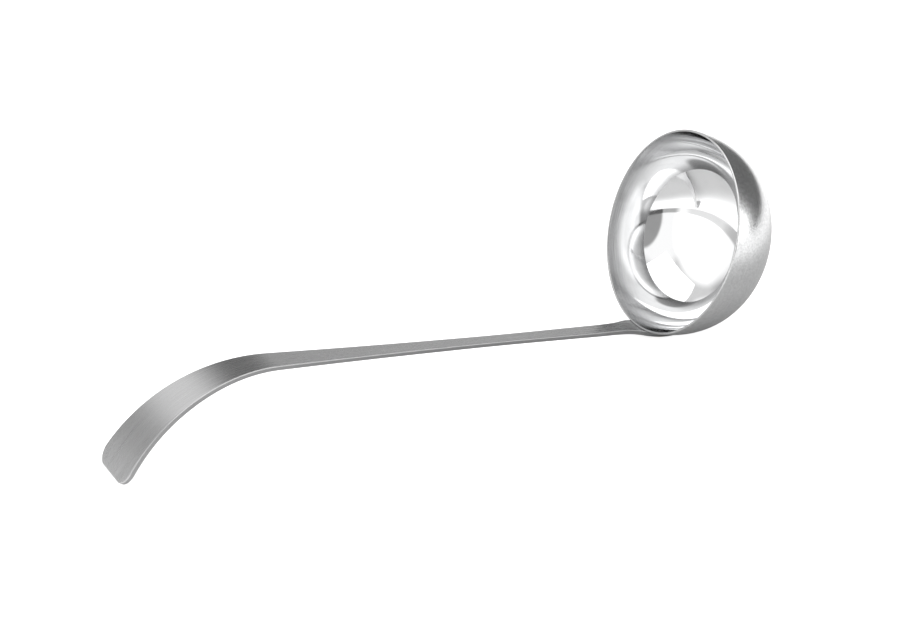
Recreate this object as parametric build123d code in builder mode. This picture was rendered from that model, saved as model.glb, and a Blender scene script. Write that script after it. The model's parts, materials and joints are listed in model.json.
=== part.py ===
"""A stainless-steel soup ladle: a deep-drawn bowl and a flat hooked handle, spot-welded together.

Millimetres. The ladle lies as it does on a table, on the tip of its hook and on the underside of
the lap that is welded to the bowl. +Z is up and +X runs from the hook to the bowl. The origin is
on the table, under the middle of the whole object's box.

The side profiles are drawn in the ladle's own plane: u runs along the bowl's axis from its mouth
to its bottom, and h runs across it, away from the handle. The mouth's centre is u = h = 0.
"""

import os
from math import atan2, cos, degrees, sin

from build123d import *

# Bowl: drawn from sheet. Fullness is how far its section keeps to the rim's cylinder and to the
# bottom's flat before it turns, as a share of the depth and of the radius: 0.55 is an ellipse.
MOUTH_DIAMETER = 90.0
BOWL_DEPTH = 39.0
BOWL_FULLNESS = 0.64
BOWL_WALL = 1.0
RIM_ROUNDING = 0.4

# Points that a sheet's section is drawn through, and samples in a search along it.
SECTION_POINTS = 16
SEARCH_STEPS = 400

# Handle: one bent strip, lapped on the outside of the bowl. Stations are measured along its
# upper face from the rim, and each has a width there. The lap's sides leave the rim at a slope,
# its flare, and end parallel.
STRIP_THICKNESS = 2.0
LAP_CLEARANCE = 0.05
LAP_LENGTH = 25.5
LAP_WIDTH = 16.0
LAP_FLARE = 0.2
HANDLE_LEAN = 11.6
BEND_RADIUS = 40.0
SHANK_LENGTH = 168.0
HOOK_RADIUS = 72.0
HOOK_SWEEP = 66.0
ROOT_WIDTH = 14.0
STATION_WIDTHS = {9.0: 9.6, 20.0: 8.6, 87.0: 7.8, 176.0: 13.6, 222.0: 22.0}
TIP_WIDTH = 28.5
TIP_CORNER_RADIUS = 7.0
STRIP_EDGE_ROUNDING = 0.4

# Spot welds: each nugget is part-way into both sheets, under a dimple left by the electrode.
NUGGET_DIAMETER = 4.5
NUGGET_IN_BOWL = 0.5
NUGGET_IN_LAP = 0.9
DIMPLE_RADIUS = 20.0
DIMPLE_DEPTH = 0.15
# Each weld's distance from the rim along the skin, and its degrees round the bowl.
WELD_PLACES = ((8.2, -5.8), (8.2, 5.8), (18.5, 0.0))

mouth_radius = MOUTH_DIAMETER / 2

# The bowl's section on the handle's side, from the rim to the bottom, in the ladle's plane.
skin = Bezier(
    (0, -mouth_radius),
    (BOWL_FULLNESS * BOWL_DEPTH, -mouth_radius),
    (BOWL_DEPTH, -BOWL_FULLNESS * mouth_radius),
    (BOWL_DEPTH, 0),
)


def skin_point(share, outwards):
    """A point at a share of the section's length, moved off the skin outwards."""
    heading = skin % share
    return skin @ share + Vector(heading.Y, -heading.X) * outwards


def strip_line(depth):
    """The strip's line from its bend at the rim to the hook's tip, at a depth under its upper face."""
    with BuildLine(mode=Mode.PRIVATE) as line:
        start = (0, -mouth_radius - LAP_CLEARANCE - depth)
        bend = JernArc(start, (-1, 0), BEND_RADIUS - depth, HANDLE_LEAN)
        shank = PolarLine(bend @ 1, SHANK_LENGTH, direction=bend % 1)
        JernArc(shank @ 1, shank % 1, HOOK_RADIUS - depth, HOOK_SWEEP)
    return line.wire()


upper_line = strip_line(0)
lower_line = strip_line(STRIP_THICKNESS)

# At rest the table touches the lower corner of the hook's tip and the round underside of the
# lap: it is the lowest line from that corner to the underside.
tip = lower_line @ 1
lap_outside = LAP_CLEARANCE + STRIP_THICKNESS
lap_share = LAP_LENGTH / skin.length
search_shares = [i / SEARCH_STEPS for i in range(SEARCH_STEPS + 1)]
underside = [skin_point(lap_share * share, lap_outside) for share in search_shares]
rest_tilt = min(atan2(point.Y - tip.Y, point.X - tip.X) for point in underside)


def at_rest(point):
    """Turn a point of the ladle's plane by the resting tilt, about the mouth's centre."""
    return Vector(point.X, point.Y).rotate(Axis.Z, -degrees(rest_tilt))


# The box's ends along X are the upper corner of the hook's tip and the bowl's rounded back,
# which is above the axis, so it is found on the section turned half way round.
tip_x = at_rest(upper_line @ 1).X
back_x = max(at_rest(Vector(point.X, -point.Y)).X for point in map(skin.position_at, search_shares))
table_z = at_rest(tip).Y
mouth_centre = Vector(-(tip_x + back_x) / 2, 0, -table_z)
ladle_plane = Plane(mouth_centre, x_dir=(cos(rest_tilt), 0, -sin(rest_tilt)), z_dir=(0, -1, 0))
bowl_axis = Axis(mouth_centre, ladle_plane.x_dir)


def place(point):
    """Give a point of the ladle's plane its place in the ladle's frame."""
    return ladle_plane.from_local_coords(Vector(point.X, point.Y))


def filled_bowl_section(outwards):
    """Half of the bowl's section, filled up to the mouth, at a distance outside its skin."""
    points = [skin_point(i / SECTION_POINTS, outwards) for i in range(SECTION_POINTS + 1)]
    with BuildSketch(mode=Mode.PRIVATE) as section:
        with BuildLine():
            line = Spline(*points, tangents=((1, 0), (0, 1)))
            Polyline(line @ 1, (0, 0), line @ 0)
        make_face()
    return section.sketch


def weld_plane(from_rim, round_bowl):
    """The plane that touches the bowl's skin at a weld and faces out through the lap."""
    turn = Axis((0, 0, 0), ladle_plane.x_dir)
    meridian = Plane(mouth_centre, x_dir=turn.direction, z_dir=ladle_plane.z_dir.rotate(turn, round_bowl))
    spot, above = (
        meridian.from_local_coords(skin_point(from_rim / skin.length, height)) for height in (0, 1)
    )
    return Plane(spot, z_dir=above - spot)


weld_planes = [weld_plane(*spot) for spot in WELD_PLACES]

# Three weld nuggets, the only pieces that hold the handle to the bowl.
with BuildPart() as spot_welds:
    for plane in weld_planes:
        with BuildSketch(plane.offset(-NUGGET_IN_BOWL)):
            Circle(NUGGET_DIAMETER / 2)
        extrude(amount=NUGGET_IN_BOWL + LAP_CLEARANCE + NUGGET_IN_LAP)

# The bowl: one sheet turned round its axis, its rim rounded, with the nuggets' seats in its skin.
with BuildPart() as bowl:
    with BuildSketch(ladle_plane):
        add(filled_bowl_section(0))
        add(filled_bowl_section(-BOWL_WALL), mode=Mode.SUBTRACT)
    revolve(axis=bowl_axis)
    rim_face = bowl.faces().filter_by(GeomType.PLANE)[0]
    fillet(rim_face.edges(), RIM_ROUNDING)
    add(spot_welds.part, mode=Mode.SUBTRACT)

# The lap: the end of the strip, pressed to the bowl's skin and cut to a tongue with a round end.
with BuildPart() as lap:
    with BuildSketch(ladle_plane):
        add(filled_bowl_section(lap_outside))
        add(filled_bowl_section(LAP_CLEARANCE), mode=Mode.SUBTRACT)
    revolve(axis=bowl_axis)
    lap_end = skin_point(lap_share, lap_outside).X
    with BuildSketch(Plane(mouth_centre, x_dir=ladle_plane.x_dir, z_dir=-ladle_plane.y_dir)):
        with BuildLine():
            straight_end = lap_end - LAP_WIDTH / 2
            ends = ((0, ROOT_WIDTH / 2), (straight_end, LAP_WIDTH / 2))
            side = Spline(*ends, tangents=((1, LAP_FLARE), (1, 0)))
            JernArc(side @ 1, (1, 0), LAP_WIDTH / 2, -90)
            Polyline((lap_end, 0), (0, 0), side @ 0)
        make_face()
        mirror(about=Plane.XZ)
    extrude(amount=2 * mouth_radius, mode=Mode.INTERSECT)

# The handle: the shank and hook, bent in one plane and cut to an outline seen from above, with
# the lap added at the rim. The outline runs past both of the strip's ends by its thickness.
root_x = place(upper_line @ 0).X
end_x = place(upper_line @ 1).X
with BuildPart() as handle:
    with BuildSketch(ladle_plane):
        with BuildLine():
            add(upper_line)
            add(lower_line)
            Line(upper_line @ 0, lower_line @ 0)
            Line(upper_line @ 1, lower_line @ 1)
        make_face()
    extrude(amount=TIP_WIDTH, both=True)
    with BuildSketch():
        with BuildLine():
            stations = [
                (place(upper_line.position_at(at, PositionMode.LENGTH)).X, width / 2)
                for at, width in STATION_WIDTHS.items()
            ]
            side = Spline((root_x, ROOT_WIDTH / 2), *stations, (end_x, TIP_WIDTH / 2))
            near, far = root_x + STRIP_THICKNESS, end_x - STRIP_THICKNESS
            Polyline(side @ 0, (near, ROOT_WIDTH / 2), (near, 0))
            Polyline(side @ 1, (far, TIP_WIDTH / 2), (far, 0), (near, 0))
        make_face()
        mirror(about=Plane.XZ)
    extrude(amount=2 * mouth_radius, mode=Mode.INTERSECT)
    tip_face = handle.faces().sort_by(Axis.X)[0]
    fillet(tip_face.edges().group_by(SortBy.LENGTH)[0], TIP_CORNER_RADIUS)
    root_edges = handle.faces().sort_by(Axis.X)[-1].edges()
    long_edges = [
        edge for edge in handle.edges()
        if edge.length > TIP_CORNER_RADIUS and edge not in root_edges
    ]
    fillet(long_edges, STRIP_EDGE_ROUNDING)
    add(lap.part)
    add(spot_welds.part, mode=Mode.SUBTRACT)
    dimple_centre = lap_outside + DIMPLE_RADIUS - DIMPLE_DEPTH
    with Locations([plane.offset(dimple_centre) for plane in weld_planes]):
        Sphere(DIMPLE_RADIUS, mode=Mode.SUBTRACT)

os.makedirs("parts", exist_ok=True)
for name, piece in {"bowl": bowl, "handle": handle, "spot_welds": spot_welds}.items():
    piece.part.label = name
    export_step(piece.part, f"parts/{name}.step")
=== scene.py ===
import json
from math import asin, atan2, cos, hypot, pi, radians, sin, sqrt

import bpy
from mathutils import Matrix, Vector


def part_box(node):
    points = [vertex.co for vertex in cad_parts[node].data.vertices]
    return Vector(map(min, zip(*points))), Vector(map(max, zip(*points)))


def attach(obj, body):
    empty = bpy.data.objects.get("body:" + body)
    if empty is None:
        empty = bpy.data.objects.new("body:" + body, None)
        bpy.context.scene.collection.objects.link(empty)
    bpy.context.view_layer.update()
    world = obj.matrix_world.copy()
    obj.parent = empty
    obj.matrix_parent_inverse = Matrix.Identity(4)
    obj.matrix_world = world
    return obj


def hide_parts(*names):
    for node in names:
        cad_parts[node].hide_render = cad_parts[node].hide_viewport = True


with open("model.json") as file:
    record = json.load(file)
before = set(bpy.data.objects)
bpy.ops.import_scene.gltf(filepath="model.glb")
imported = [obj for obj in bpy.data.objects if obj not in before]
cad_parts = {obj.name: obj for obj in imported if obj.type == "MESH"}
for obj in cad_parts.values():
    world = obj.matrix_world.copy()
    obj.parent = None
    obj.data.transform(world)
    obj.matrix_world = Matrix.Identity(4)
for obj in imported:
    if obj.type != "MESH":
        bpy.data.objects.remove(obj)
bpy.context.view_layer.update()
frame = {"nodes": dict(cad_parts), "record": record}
MM = 0.001

# ---- The bowl ----
# A deep bowl drawn from one stainless sheet, round about its own axis, with an upright rim. It
# is polished to a mirror inside, less so in a brushed band under the rim, and satin-finished on
# the rim and outside. The handle's lap is spot-welded to its skin, low down under the rim.
MOUTH_RADIUS = 45 * MM
BOWL_DEPTH = 39 * MM
BOWL_WALL = 1 * MM
RIM_ROUNDING = 0.4 * MM
RIM_STEPS = 6
LATHE_STEPS = 288

# The bowl's axis leans down from the mouth, as the ladle lies: by the slope of the shank's flat
# face, and by the shank's own lean to the axis.
LEAN = radians(11.6)
shank_flat = next(mount for mount in frame["record"]["mounts"] if mount["name"] == "shank_flat")
rest_tilt = LEAN + asin(shank_flat["axis"][0])
axis_turn = (0, pi / 2 + rest_tilt, 0)

# The section is one Bezier curve, square to the axis at the bowl's bottom and along it at the
# rim, so the drawn sheet has no sudden change of bend for the polish to show.
FULLNESS = 0.64
SKIN_STEPS = 72
bezier_points = (
    (BOWL_DEPTH, 0),
    (BOWL_DEPTH, FULLNESS * MOUTH_RADIUS),
    (FULLNESS * BOWL_DEPTH, MOUTH_RADIUS),
    (0, MOUTH_RADIUS),
)


def skin_at(f, inset=0):
    """A point of the section, as a place along the axis and a distance from it, and its turn."""
    weights = ((1 - f) ** 3, 3 * f * (1 - f) ** 2, 3 * f * f * (1 - f), f**3)
    along, out = (sum(w * p[i] for w, p in zip(weights, bezier_points)) for i in (0, 1))
    pulls = (3 * (1 - f) ** 2, 6 * f * (1 - f), 3 * f * f)
    legs = list(zip(pulls, bezier_points, bezier_points[1:]))
    slope = [sum(k * (q[i] - p[i]) for k, p, q in legs) for i in (0, 1)]
    turned = atan2(slope[1], -slope[0]) if f < 1 else 0
    return along - inset * sin(turned), out - inset * cos(turned), turned


# The box's far end is the bowl's rounded back, and its top is the rim's rounded upper edge, so
# the mouth's centre follows from the box.
SEARCH_STEPS = 400
back_reach = max(
    along * cos(rest_tilt) + out * sin(rest_tilt)
    for along, out, _ in (skin_at(i / SEARCH_STEPS) for i in range(SEARCH_STEPS + 1))
)
rim_reach = (MOUTH_RADIUS - RIM_ROUNDING) * cos(rest_tilt) + RIM_ROUNDING * (1 - sin(rest_tilt))
_, bowl_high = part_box("bowl")
mouth_centre = Vector((bowl_high[0] - back_reach, 0, bowl_high[2] - rim_reach))


# The skins stop this many rim roundings short of the mouth, where the rim's arcs take over.
RIM_MARGIN = 1.5


def bowl_skin(inset):
    """The section of one skin, from the bowl's bottom to just under its rounded rim."""
    skin = [skin_at(i / SKIN_STEPS, inset)[:2] for i in range(SKIN_STEPS + 1)]
    return [point for point in skin if point[0] > RIM_MARGIN * RIM_ROUNDING]


def arc(centre, radius, start, end, steps):
    """Points of an arc, each a place along the bowl's axis and a distance from it."""
    angles = [start + (end - start) * i / steps for i in range(steps + 1)]
    return [(centre[0] + radius * cos(a), centre[1] + radius * sin(a)) for a in angles]


outer = bowl_skin(0)
inner = bowl_skin(BOWL_WALL)
outer_corner = (RIM_ROUNDING, MOUTH_RADIUS - RIM_ROUNDING)
inner_corner = (RIM_ROUNDING, MOUTH_RADIUS - BOWL_WALL + RIM_ROUNDING)
rim = arc(outer_corner, RIM_ROUNDING, pi / 2, pi, RIM_STEPS)
rim += arc(inner_corner, RIM_ROUNDING, pi, 3 * pi / 2, RIM_STEPS)
section = outer + rim + inner[::-1]
outer_run = sum(hypot(b[0] - a[0], b[1] - a[1]) for a, b in zip(outer, outer[1:])) + RIM_ROUNDING


class Maker:
    """Makes the nodes of one node tree, of a material or of a Geometry Nodes group."""

    def __init__(self, tree):
        self.tree = tree

    def node(self, kind, settings=None, sockets=None, output=0):
        """Add a node, set it up, fill or link its sockets, and give the wanted output."""
        made = self.tree.nodes.new(kind)
        for name, value in (settings or {}).items():
            setattr(made, name, value)
        for name, value in (sockets or {}).items():
            into = made.inputs[name]
            if isinstance(name, str):
                into = next(s for s in made.inputs if s.name == name and s.enabled)
            if isinstance(value, Wire):
                self.tree.links.new(value.socket, into)
            else:
                into.default_value = value
        if isinstance(output, str):
            return Wire(self, next(s for s in made.outputs if s.name == output and s.enabled))
        if not len(made.outputs):
            return made
        return Wire(self, [s for s in made.outputs if s.enabled][output])


class Wire:
    """A node's output. Arithmetic on it adds Math nodes."""

    def __init__(self, maker, socket):
        self.maker, self.socket = maker, socket

    def math(self, operation, *values):
        return self.maker.node("ShaderNodeMath", {"operation": operation}, dict(enumerate(values)))

    def __add__(self, other):
        return self.math("ADD", self, other)

    def __sub__(self, other):
        return self.math("SUBTRACT", self, other)

    def __rsub__(self, other):
        return self.math("SUBTRACT", other, self)

    def __mul__(self, other):
        return self.math("MULTIPLY", self, other)

    __radd__ = __add__
    __rmul__ = __mul__


# The lathe turns a section curve round the bowl's axis, closes its poles, and carries the run
# along the section to the finish.
MERGE_DISTANCE = 1e-6
lathe = bpy.data.node_groups.new("lathe", "GeometryNodeTree")
for name, kind in (
    ("Section", "Geometry"),
    ("Steps", "Int"),
    ("Circle Radius", "Float"),
    ("Mouth Centre", "Vector"),
    ("Axis Turn", "Vector"),
    ("Finish", "Material"),
):
    lathe.interface.new_socket(name, in_out="INPUT", socket_type="NodeSocket" + kind)
lathe.interface.new_socket("Bowl", in_out="OUTPUT", socket_type="NodeSocketGeometry")
turn = Maker(lathe)
given = {s.name: Wire(turn, s) for s in lathe.nodes.new("NodeGroupInput").outputs if s.name}
run = turn.node("GeometryNodeSplineParameter", output="Length")
marked = turn.node("GeometryNodeStoreNamedAttribute", {"data_type": "FLOAT", "domain": "POINT"},
                   {"Geometry": given["Section"], "Name": "run", "Value": run})
circle = turn.node("GeometryNodeCurvePrimitiveCircle", None,
                   {"Resolution": given["Steps"], "Radius": given["Circle Radius"]})
skin = turn.node("GeometryNodeCurveToMesh", None, {"Curve": circle, "Profile Curve": marked})
skin = turn.node("GeometryNodeMergeByDistance", None,
                 {"Geometry": skin, "Distance": MERGE_DISTANCE})
skin = turn.node("GeometryNodeTransform", None, {
    "Geometry": skin, "Translation": given["Mouth Centre"], "Rotation": given["Axis Turn"]})
skin = turn.node("GeometryNodeRealizeInstances", None, {"Geometry": skin})
skin = turn.node("GeometryNodeSetMaterial", None, {"Geometry": skin, "Material": given["Finish"]})
lathe.links.new(skin.socket, lathe.nodes.new("NodeGroupOutput").inputs["Bowl"])


def made_by(tree, source, name, values):
    """Run a Geometry Nodes tree on a source object, and return its result as a plain mesh piece."""
    modifier = source.modifiers.new(tree.name, "NODES")
    modifier.node_group = tree
    for item in tree.interface.items_tree:
        if item.in_out == "INPUT" and item.name in values:
            modifier[item.identifier] = values[item.name]
    source.update_tag()
    evaluated = source.evaluated_get(bpy.context.evaluated_depsgraph_get())
    piece = bpy.data.objects.new(name, bpy.data.meshes.new_from_object(evaluated))
    bpy.data.objects.remove(source)
    bpy.context.scene.collection.objects.link(piece)
    piece.data.shade_smooth()
    return piece


# The bowl's finish: polish lines and satin lines both run round the axis. One mask is 1 on the
# polished inside and 0 on the satin rim and outside. The other is 1 at the rim inside, where the
# buffing wheel reaches least, and fades out further in. Their widths are in millimetres.
RIM_LAND = 1.3
RIM_FADE = 0.4
BAND_WIDTH = 17.0
bowl_steel = bpy.data.materials.new("bowl_steel")
bowl_steel.use_nodes = True
bowl_steel.node_tree.nodes.clear()
buff = Maker(bowl_steel.node_tree)
here = buff.node("ShaderNodeTexCoord", output="Object")
here = buff.node("ShaderNodeMapping", {"vector_type": "TEXTURE"},
                 {"Vector": here, "Location": mouth_centre, "Rotation": axis_turn})
here = buff.node("ShaderNodeVectorMath", {"operation": "SCALE"}, {"Vector": here, "Scale": 1 / MM})
run = buff.node("ShaderNodeAttribute", {"attribute_name": "run"}, output="Fac") * (1 / MM)
inside_from = outer_run / MM + RIM_LAND
polished = buff.node("ShaderNodeMapRange", None, {
    "Value": run, "From Min": inside_from - RIM_FADE, "From Max": inside_from})
band = buff.node("ShaderNodeMapRange", {"interpolation_type": "SMOOTHSTEP"}, {
    "Value": run, "From Min": inside_from + BAND_WIDTH, "From Max": inside_from})
split = buff.node("ShaderNodeSeparateXYZ", None, {"Vector": here}, output="X").socket.node
around_x, around_y = Wire(buff, split.outputs["X"]), Wire(buff, split.outputs["Y"])


def lines_round(pitch, length):
    """Noise drawn out round the axis: fine across the section's run, long around the bowl."""
    vector = buff.node("ShaderNodeCombineXYZ", None, {
        "X": around_x * (1 / length), "Y": around_y * (1 / length), "Z": run * (1 / pitch)})
    return buff.node("ShaderNodeTexNoise", None,
                     {"Vector": vector, "Scale": 1.0, "Detail": 3.0, "Roughness": 0.6})


def cloud(scale, detail=2.0):
    """Soft noise through the bowl, with features of about the given size in millimetres."""
    return buff.node("ShaderNodeTexNoise", None,
                     {"Vector": here, "Scale": 1 / scale, "Detail": detail})


satin_lines = lines_round(0.16, 14.0)
polish_lines = lines_round(0.3, 30.0)
smudges = buff.node("ShaderNodeMapRange", None,
                    {"Value": cloud(9.0, 4.0), "From Min": 0.5, "From Max": 0.75})
satin_rough = 0.15 + 0.10 * satin_lines + 0.05 * cloud(12.0)
polish_rough = 0.02 + 0.03 * polish_lines + 0.05 * smudges + band * (0.06 + 0.16 * satin_lines)
roughness = satin_rough + (polish_rough - satin_rough) * polished
grain = cloud(1.1, 4.0)
satin_tone = 0.36 + 0.16 * satin_lines + 0.34 * grain
polish_tone = 0.90 - 0.05 * smudges - band * (0.80 - 0.56 * satin_lines)
tone = satin_tone + (polish_tone - satin_tone) * polished
colour = buff.node("ShaderNodeCombineColor", None,
                   {"Red": tone, "Green": tone * 1.003, "Blue": tone * 1.008})
satin_height = 0.005 * satin_lines + 0.035 * grain
polish_height = 0.0003 * polish_lines + 0.07 * cloud(20.0, 1.0)
height = satin_height + (polish_height - satin_height) * polished
relief = buff.node("ShaderNodeBump", None,
                   {"Height": height * MM, "Distance": 1.0, "Strength": 1.0})
steel = buff.node("ShaderNodeBsdfPrincipled", None, {
    "Base Color": colour, "Metallic": 1.0, "Roughness": roughness, "Normal": relief})
buff.node("ShaderNodeOutputMaterial", None, {"Surface": steel})

section_curve = bpy.data.curves.new("bowl_section", "CURVE")
section_curve.dimensions = "3D"
line = section_curve.splines.new("POLY")
line.points.add(len(section) - 1)
for point, (along, out) in zip(line.points, section):
    point.co = (out - MOUTH_RADIUS, -along, 0, 1)
bowl_source = bpy.data.objects.new("bowl_section", section_curve)
bpy.context.scene.collection.objects.link(bowl_source)
bowl = made_by(lathe, bowl_source, "polished_bowl", {
    "Steps": LATHE_STEPS,
    "Circle Radius": MOUTH_RADIUS,
    "Mouth Centre": mouth_centre,
    "Axis Turn": axis_turn,
    "Finish": bowl_steel,
})
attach(bowl, "root")
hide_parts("bowl")

# ---- The handle ----
# One strip of 2 mm stainless steel, blanked to a long waisted outline and bent: a tongue pressed
# to the bowl's skin, a slight bend at the rim, a flat shank, and a wide downturned hook. It is
# brushed along its length, and its edges are eased.
STRIP_THICKNESS = 2 * MM
LAP_CLEARANCE = 0.05 * MM
EDGE_ROUNDING = 0.4 * MM
TIP_CORNER_RADIUS = 7 * MM
LAP_END_RADIUS = 8 * MM
HOOK_SWEEP = radians(66)
HOOK_RADIUS = 72 * MM
BEND_RADIUS = 40 * MM
SHANK_LENGTH = 168 * MM
FLATTENING_LENGTH = 24 * MM

# The lap follows the bowl's skin down from the rim: its distance from the rim, its place in the
# ladle's side plane and its turn, closely spaced.
LAP_LENGTH = 25.5 * MM
lap_trace = [(0, 0, -MOUTH_RADIUS - LAP_CLEARANCE, 0)]
for i in range(1, SEARCH_STEPS):
    u, out, turned = skin_at(1 - i / SEARCH_STEPS, -LAP_CLEARANCE)
    past = lap_trace[-1]
    lap_trace.append((past[0] - hypot(u - past[1], out + past[2]), u, -out, turned))

# From the rim on, the strip's upper face is runs of one curvature.
runs = (
    (BEND_RADIUS * LEAN, 1 / BEND_RADIUS),
    (SHANK_LENGTH, 0),
    (HOOK_RADIUS * HOOK_SWEEP, 1 / HOOK_RADIUS),
)
tip_place = sum(length for length, _ in runs)
hook_start = tip_place - runs[-1][0]

# Widths across the strip at places from the rim, negative on the lap.
WIDTHS = (
    (LAP_END_RADIUS - LAP_LENGTH, 16 * MM), (-8 * MM, 15.6 * MM), (0, 14 * MM), (9 * MM, 9.6 * MM),
    (20 * MM, 8.6 * MM), (87 * MM, 7.8 * MM), (176 * MM, 13.6 * MM), (222 * MM, 22 * MM),
    (tip_place, 28.5 * MM),
)


def smooth_width(at):
    """The width at a place from the rim, on a smooth curve through WIDTHS."""
    at = min(max(at, WIDTHS[0][0]), WIDTHS[-1][0])
    i = next(i for i in range(len(WIDTHS) - 1) if at <= WIDTHS[i + 1][0])

    def slope(j):
        before, after = WIDTHS[max(j - 1, 0)], WIDTHS[min(j + 1, len(WIDTHS) - 1)]
        return (after[1] - before[1]) / (after[0] - before[0]) if 0 < j else 0

    (x0, w0), (x1, w1) = WIDTHS[i], WIDTHS[i + 1]
    span, f = x1 - x0, (at - x0) / (x1 - x0)
    return (
        w0 * (1 + 2 * f) * (1 - f) ** 2 + w1 * f * f * (3 - 2 * f)
        + span * (slope(i) * f * (1 - f) ** 2 - slope(i + 1) * f * f * (1 - f))
    )


def strip_at(at):
    """The upper face's place and turn at a distance from the rim, in the ladle's side plane."""
    if at < 0:
        i = next(i for i in range(1, SEARCH_STEPS) if lap_trace[i][0] <= at)
        a, b = lap_trace[i - 1], lap_trace[i]
        f = (at - a[0]) / (b[0] - a[0])
        return tuple(p + f * (q - p) for p, q in zip(a[1:], b[1:]))
    _, along, across, turned = lap_trace[0]
    for length, curvature in runs:
        step = min(at, length)
        after = turned + curvature * step
        if curvature:
            along -= (sin(after) - sin(turned)) / curvature
            across += (cos(after) - cos(turned)) / curvature
        else:
            along -= step * cos(turned)
            across -= step * sin(turned)
        turned = after
        at -= step
    return along, across, turned


def edge_inset(distance):
    """How far a face draws back where its edge is this near: the rounding of the strip's edges."""
    near = max(EDGE_ROUNDING - distance, 0)
    return EDGE_ROUNDING - sqrt(EDGE_ROUNDING**2 - near**2)


def rounded_end(distance, radius):
    """How much a corner of this radius takes off the half width, this far from the strip's end."""
    near = max(radius - distance, 0)
    return radius - sqrt(radius**2 - near**2)


def spread(start, end, step):
    """Even places from start up to end, about a step apart."""
    count = max(1, round((end - start) / step))
    return [start + (end - start) * i / count for i in range(count)]


# Steps along the strip: fine on the lap and the bend, coarse on the flat shank, and closing up
# towards its two rounded ends.
LAP_STEP = 0.45 * MM
BEND_STEP = 0.6 * MM
SHANK_STEP = 2.5 * MM
HOOK_STEP = 1 * MM
END_STEPS = 22
end_shares = [1 - cos(pi / 2 * i / END_STEPS) for i in range(END_STEPS + 1)]
places = (
    [LAP_END_RADIUS * share - LAP_LENGTH for share in end_shares[:-1]]
    + spread(LAP_END_RADIUS - LAP_LENGTH, 0, LAP_STEP)
    + spread(0, FLATTENING_LENGTH, BEND_STEP)
    + spread(FLATTENING_LENGTH, hook_start, SHANK_STEP)
    + spread(hook_start, tip_place - TIP_CORNER_RADIUS, HOOK_STEP)
    + [tip_place - TIP_CORNER_RADIUS * share for share in reversed(end_shares)]
)

# Steps across a flat face of the strip's section, and round each of its four eased corners.
FLAT_STEPS = 40
EDGE_STEPS = 5

# The electrode left three shallow dimples in the lap's underside, each in a faint raised ring,
# whose width and height are shares of the dimple's radius and depth.
DIMPLE_RADIUS = 2.45 * MM
DIMPLE_DEPTH = 0.15 * MM
RING_WIDTH = 0.3
RING_HEIGHT = 0.15
weld_marks = ((-8.2 * MM, 4.75 * MM), (-8.2 * MM, -4.75 * MM), (-18.5 * MM, 0))


def weld_distance(place, across):
    """The distance along the strip's face to the nearest weld's middle."""
    return min(hypot(place - mark[0], across - mark[1]) for mark in weld_marks)


def dimple(distance):
    """The depth of an electrode's dimple, with its ring, at a distance from its middle."""
    f = distance / DIMPLE_RADIUS
    if f < 1:
        return DIMPLE_DEPTH * (1 - f * f)
    return -RING_HEIGHT * DIMPLE_DEPTH * sin(pi * min((f - 1) / RING_WIDTH, 1))


# Where its ends round off, the strip's half width stays NARROWEST edge roundings or more. With
# less curvature across it than LEAST_HOLLOW, a row of points is flat.
NARROWEST = 1.1
LEAST_HOLLOW = 1e-9
along_axis = Vector((cos(rest_tilt), 0, -sin(rest_tilt)))
across_axis = Vector((sin(rest_tilt), 0, cos(rest_tilt)))
points, marks = [], {"along": [], "across": [], "depth": [], "weld": []}
for place in places:
    u, h, turned = strip_at(place)
    from_ends = place + LAP_LENGTH, tip_place - place
    half = smooth_width(place) / 2
    half -= rounded_end(from_ends[0], LAP_END_RADIUS) + rounded_end(from_ends[1], TIP_CORNER_RADIUS)
    half = max(half, NARROWEST * EDGE_ROUNDING)
    inset = sum(edge_inset(distance) for distance in from_ends)
    hollow = cos(turned) / -h
    if place > 0:
        f = min(place / FLATTENING_LENGTH, 1)
        hollow = (1 - f * f * (3 - 2 * f)) / MOUTH_RADIUS
    flat = half - EDGE_ROUNDING
    loop = [(flat * (2 * i / FLAT_STEPS - 1), 0) for i in range(FLAT_STEPS + 1)]
    quarter = [pi / 2 * i / EDGE_STEPS for i in range(1, EDGE_STEPS + 1)]
    loop += [(flat + EDGE_ROUNDING * sin(a), EDGE_ROUNDING * (1 - cos(a))) for a in quarter]
    loop += [(y, STRIP_THICKNESS - d) for y, d in reversed(loop)]
    loop += [(-y, STRIP_THICKNESS - d) for y, d in loop[FLAT_STEPS + 1:FLAT_STEPS + 1 + EDGE_STEPS]]
    loop += [(-y, d) for y, d in reversed(loop[FLAT_STEPS + 1:FLAT_STEPS + 1 + EDGE_STEPS])]
    for y, d in loop:
        gutter = (1 - sqrt(1 - (hollow * y) ** 2)) / hollow if hollow > LEAST_HOLLOW else 0
        weld = weld_distance(place, y)
        d = min(max(d, inset), STRIP_THICKNESS - inset)
        if d > STRIP_THICKNESS / 2:
            d -= dimple(weld)
        lift = gutter - d
        points.append(
            mouth_centre
            + along_axis * (u - lift * sin(turned))
            + across_axis * (h + lift * cos(turned))
            + Vector((0, y, 0))
        )
        for name, value in zip(marks, (place, y, d, weld)):
            marks[name].append(value)

around = len(points) // len(places)
faces = [
    (row * around + i, row * around + (i + 1) % around,
     (row + 1) * around + (i + 1) % around, (row + 1) * around + i)
    for row in range(len(places) - 1) for i in range(around)
]
faces += [tuple(range(around))[::-1], tuple(range(len(points) - around, len(points)))]
strip = bpy.data.meshes.new("brushed_handle")
strip.from_pydata(points, [], faces)
strip.shade_smooth()
for name, values in marks.items():
    strip.attributes.new(name, "FLOAT", "POINT").data.foreach_set("value", values)
handle = bpy.data.objects.new("brushed_handle", strip)
bpy.context.scene.collection.objects.link(handle)

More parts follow.
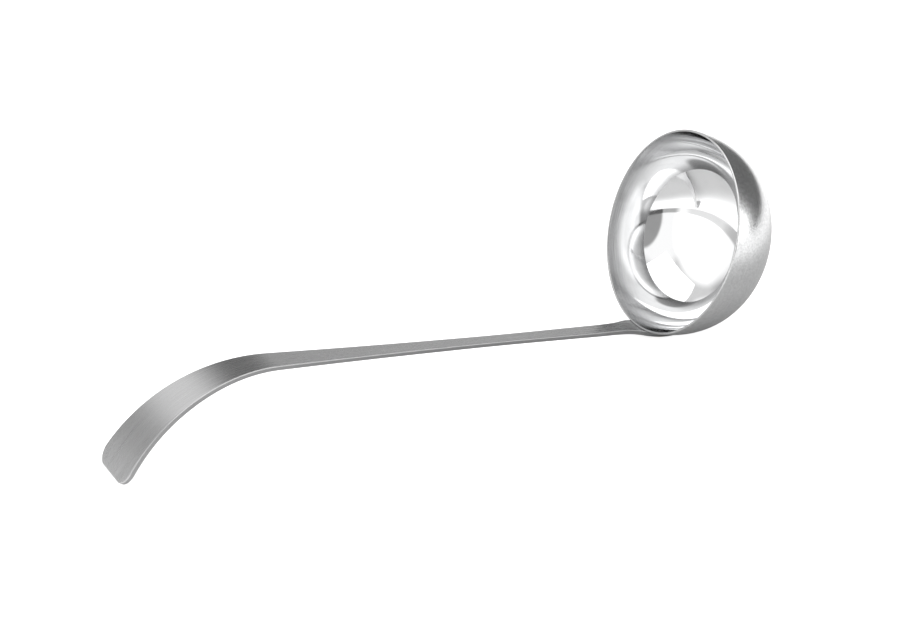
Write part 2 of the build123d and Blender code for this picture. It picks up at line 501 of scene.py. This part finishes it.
# The handle's finish: brush lines along the strip on its faces, and a duller edge where it was
# sheared, darker with painted shade on the strip's sides. The welds' heat leaves a faint straw
# ring and a grey middle on the lap's underside.
handle_steel = bpy.data.materials.new("handle_steel")
handle_steel.use_nodes = True
handle_steel.node_tree.nodes.clear()
brush = Maker(handle_steel.node_tree)
along, across, depth, weld = (
    brush.node("ShaderNodeAttribute", {"attribute_name": name}, output="Fac") * (1 / MM)
    for name in marks
)


def strokes(width, length, detail=3.0):
    """Noise drawn out along the strip, with strokes of about the given size in millimetres."""
    vector = brush.node("ShaderNodeCombineXYZ", None, {
        "X": along * (1 / length), "Y": across * (1 / width), "Z": depth * (1 / width)})
    return brush.node("ShaderNodeTexNoise", None,
                      {"Vector": vector, "Scale": 1.0, "Detail": detail, "Roughness": 0.6})


# Where each mask starts and where it is full, in millimetres: the heat's by distance from a weld,
# the others by depth under the strip's upper face.
HEAT_RING = (4.6, 2.2)
UNDERSIDE = (1.2, 1.8)
EDGE_BELOW = (0.12, 0.45)
EDGE_ABOVE = (1.88, 1.55)
fine = strokes(0.09, 9.0)
broad = strokes(1.1, 45.0, 2.0)
heat = brush.node("ShaderNodeMapRange", {"interpolation_type": "SMOOTHSTEP"},
                  {"Value": weld, "From Min": HEAT_RING[0], "From Max": HEAT_RING[1]})
under, below, above = (
    brush.node("ShaderNodeMapRange", None, {"Value": depth, "From Min": start, "From Max": full})
    for start, full in (UNDERSIDE, EDGE_BELOW, EDGE_ABOVE)
)
heat = heat * under
dull_shaded_sides = below * above
# The strip's sheared sides are rougher, and darker with painted shade.
tone = (0.36 + 0.17 * fine + 0.12 * broad) * (1 - 0.42 * dull_shaded_sides)
red = tone * (1 - 0.05 * heat)
green = tone * (1 - 0.12 * heat)
blue = tone * (1.005 - 0.26 * heat)
colour = brush.node("ShaderNodeCombineColor", None, {"Red": red, "Green": green, "Blue": blue})
roughness = 0.18 + 0.13 * fine + 0.06 * broad + 0.22 * dull_shaded_sides
relief = brush.node("ShaderNodeBump", None,
                    {"Height": (fine * 0.004 + broad * 0.004) * MM, "Distance": 1.0})
steel = brush.node("ShaderNodeBsdfPrincipled", None, {
    "Base Color": colour, "Metallic": 1.0, "Roughness": roughness, "Normal": relief})
brush.node("ShaderNodeOutputMaterial", None, {"Surface": steel})
strip.materials.append(handle_steel)
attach(handle, "root")
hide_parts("handle")

# ---- The spot welds ----
# Three nuggets of cast weld metal between the bowl's skin and the lap. They are all that joins
# the two sheets, and they stay as designed, in a dull, grainy steel.
GRAINS_PER_METRE = 2500.0
weld_steel = bpy.data.materials.new("weld_steel")
weld_steel.use_nodes = True
weld_steel.node_tree.nodes.clear()
cast = Maker(weld_steel.node_tree)
here = cast.node("ShaderNodeTexCoord", output="Object")
grain = cast.node("ShaderNodeTexNoise", None,
                  {"Vector": here, "Scale": GRAINS_PER_METRE, "Detail": 3.0})
tone = 0.38 + 0.15 * grain
colour = cast.node("ShaderNodeCombineColor", None,
                   {"Red": tone, "Green": tone * 0.98, "Blue": tone * 0.95})
roughness = 0.45 + 0.2 * grain
relief = cast.node("ShaderNodeBump", None, {"Height": grain * (0.05 * MM), "Distance": 1.0})
steel = cast.node("ShaderNodeBsdfPrincipled", None, {
    "Base Color": colour, "Metallic": 1.0, "Roughness": roughness, "Normal": relief})
cast.node("ShaderNodeOutputMaterial", None, {"Surface": steel})
nuggets = frame["nodes"]["spot_welds"]
nuggets.data.materials.clear()
nuggets.data.materials.append(weld_steel)

# ---- The floor ----
# A wide, matt floor under the ladle, whose glow is painted light, white to the camera everywhere.
# The steel mirrors it as a grey sheet near the bowl that lightens further off, a painted shade
# round the ladle, so the ladle keeps its dark underside.
FLOOR_REACH = 3.0
FLOOR_GLOW = 0.88
FAR_GLOW = 0.80
GLOW_STARTS = 0.09
GLOW_FULL = 0.30
TABLE_TONE = 0.60
floor_mesh = bpy.data.meshes.new("floor")
corners = [(-1, -1), (1, -1), (1, 1), (-1, 1)]
floor_mesh.from_pydata(
    [(x * FLOOR_REACH, y * FLOOR_REACH, 0) for x, y in corners], [], [(0, 1, 2, 3)])
floor_paint = bpy.data.materials.new("floor_painted_glow")
floor_paint.use_nodes = True
floor_paint.node_tree.nodes.clear()
table = Maker(floor_paint.node_tree)
place_on = table.node("ShaderNodeTexCoord", output="Object")
away = table.node("ShaderNodeVectorMath", {"operation": "DISTANCE"},
                  {0: place_on, 1: (mouth_centre.x, 0, 0)}, output="Value")
# The glow the steel sees is painted shade near the bowl, fading out further off.
far = table.node("ShaderNodeMapRange", {"interpolation_type": "SMOOTHSTEP"},
                 {"Value": away, "From Min": GLOW_STARTS, "From Max": GLOW_FULL}) * FAR_GLOW
seen = table.node("ShaderNodeLightPath", output="Is Camera Ray")
level = far + (FLOOR_GLOW - far) * seen
glow = table.node("ShaderNodeCombineColor", None, {"Red": level, "Green": level, "Blue": level})
sheet = table.node("ShaderNodeBsdfPrincipled", None, {
    "Base Color": (TABLE_TONE, TABLE_TONE, TABLE_TONE, 1), "Roughness": 0.9,
    "Specular IOR Level": 0.1, "Emission Color": glow, "Emission Strength": 1.0})
table.node("ShaderNodeOutputMaterial", None, {"Surface": sheet})
floor_mesh.materials.append(floor_paint)
floor = bpy.data.objects.new("floor", floor_mesh)
bpy.context.scene.collection.objects.link(floor)

# ---- The studio ----
# A pale tent round the table, and one large soft light over the ladle. The tent has brighter and
# dimmer patches, which the steel mirrors. To the camera itself it is plain white.
world = bpy.data.worlds.new("studio")
world.use_nodes = True
world.node_tree.nodes.clear()
tent = Maker(world.node_tree)
towards = tent.node("ShaderNodeTexCoord", output="Generated")


def patch(direction, inside, outside):
    """1 within an angle of a direction of the tent, in degrees, fading to 0 at a wider one."""
    aimed = tent.node("ShaderNodeVectorMath", {"operation": "DOT_PRODUCT"},
                      {0: towards, 1: Vector(direction).normalized()})
    return tent.node("ShaderNodeMapRange", {"interpolation_type": "SMOOTHSTEP"}, {
        "Value": aimed, "From Min": cos(radians(outside)), "From Max": cos(radians(inside))})


# The tent's own brightness, and its patches: what each adds, its direction, and the angles from
# there at which it starts to fade and is gone. The front is the camera's side of the ladle.
TENT_GLOW = 0.72
PATCHES = (
    (0.76, (-0.95, 0.2, 0.1), 36, 50),  # the left side
    (0.36, (-0.5, -0.75, 0.35), 34, 48),  # the front, on the left
    (-0.72, (-0.05, -1, 0.16), 28, 33),  # the front, in the middle
    (-0.52, (1, 0.25, 0.3), 24, 40),  # the right side
    (2.2, (0.66, -0.70, 0.15), 13, 24),  # a lamp in the front, on the right
    (-0.60, (0.28, 0.79, 0.56), 8, 19),  # high at the back, on the right
    (0.50, (-0.1, 0.79, 0.6), 8, 18),  # high at the back, in the middle
    (-0.34, (-0.57, 0.79, 0.15), 10, 26),  # low at the back, on the left
)
brightness = TENT_GLOW
for added, direction, inside, outside in PATCHES:
    brightness = brightness + added * patch(direction, inside, outside)

# A dim band runs round the tent at the table's level. Where dim patches overlap, the tent is no
# darker than DARKEST.
DIM_BAND = 0.60
DARKEST = 0.12
UP = (0, 0, 1)
brightness = brightness - DIM_BAND * (patch(UP, 91, 92) - patch(UP, 85, 86.5))
brightness = brightness.math("MAXIMUM", brightness, DARKEST)
straight = tent.node("ShaderNodeLightPath", output="Is Camera Ray")
brightness = brightness + (1.0 - brightness) * straight
glow = tent.node("ShaderNodeBackground", None, {"Color": (1, 1, 1, 1), "Strength": brightness})
tent.node("ShaderNodeOutputWorld", None, {"Surface": glow})
bpy.context.scene.world = world

OVERHEAD_SIZE = 1.6
OVERHEAD_HEIGHT = 1.3
OVERHEAD_POWER = 9
overhead = bpy.data.lights.new("overhead", "AREA")
overhead.size = OVERHEAD_SIZE
overhead.energy = OVERHEAD_POWER
lamp = bpy.data.objects.new("overhead", overhead)
lamp.location = (0, 0, OVERHEAD_HEIGHT)
bpy.context.scene.collection.objects.link(lamp)

# The camera stands in front of the ladle, turned round towards its hook, and looks down on it.
CAMERA_TURN = radians(-28.6)
CAMERA_RISE = radians(25.5)
CAMERA_DISTANCE = 0.9
CAMERA_ROLL = radians(0.6)
looking_back = Vector((
    sin(CAMERA_TURN) * cos(CAMERA_RISE),
    -cos(CAMERA_TURN) * cos(CAMERA_RISE),
    sin(CAMERA_RISE),
))
rightwards = Vector((cos(CAMERA_TURN), sin(CAMERA_TURN), 0))
upwards = looking_back.cross(rightwards)
aim = mouth_centre - along_axis * (2 * MOUTH_RADIUS) - across_axis * MOUTH_RADIUS
lens = bpy.data.cameras.new("camera")
lens.lens = 86.3
lens.sensor_width = 36
lens.shift_x = -0.0212
lens.shift_y = -0.0192
lens.clip_start = 0.01
camera = bpy.data.objects.new("camera", lens)
bpy.context.scene.collection.objects.link(camera)
facing = Matrix((rightwards, upwards, looking_back)).transposed().to_4x4()
camera.matrix_world = (
    Matrix.Translation(aim + looking_back * CAMERA_DISTANCE) @ facing
    @ Matrix.Rotation(-CAMERA_ROLL, 4, "Z")
)
bpy.context.scene.camera = camera
bpy.context.scene.view_settings.view_transform = "Standard"
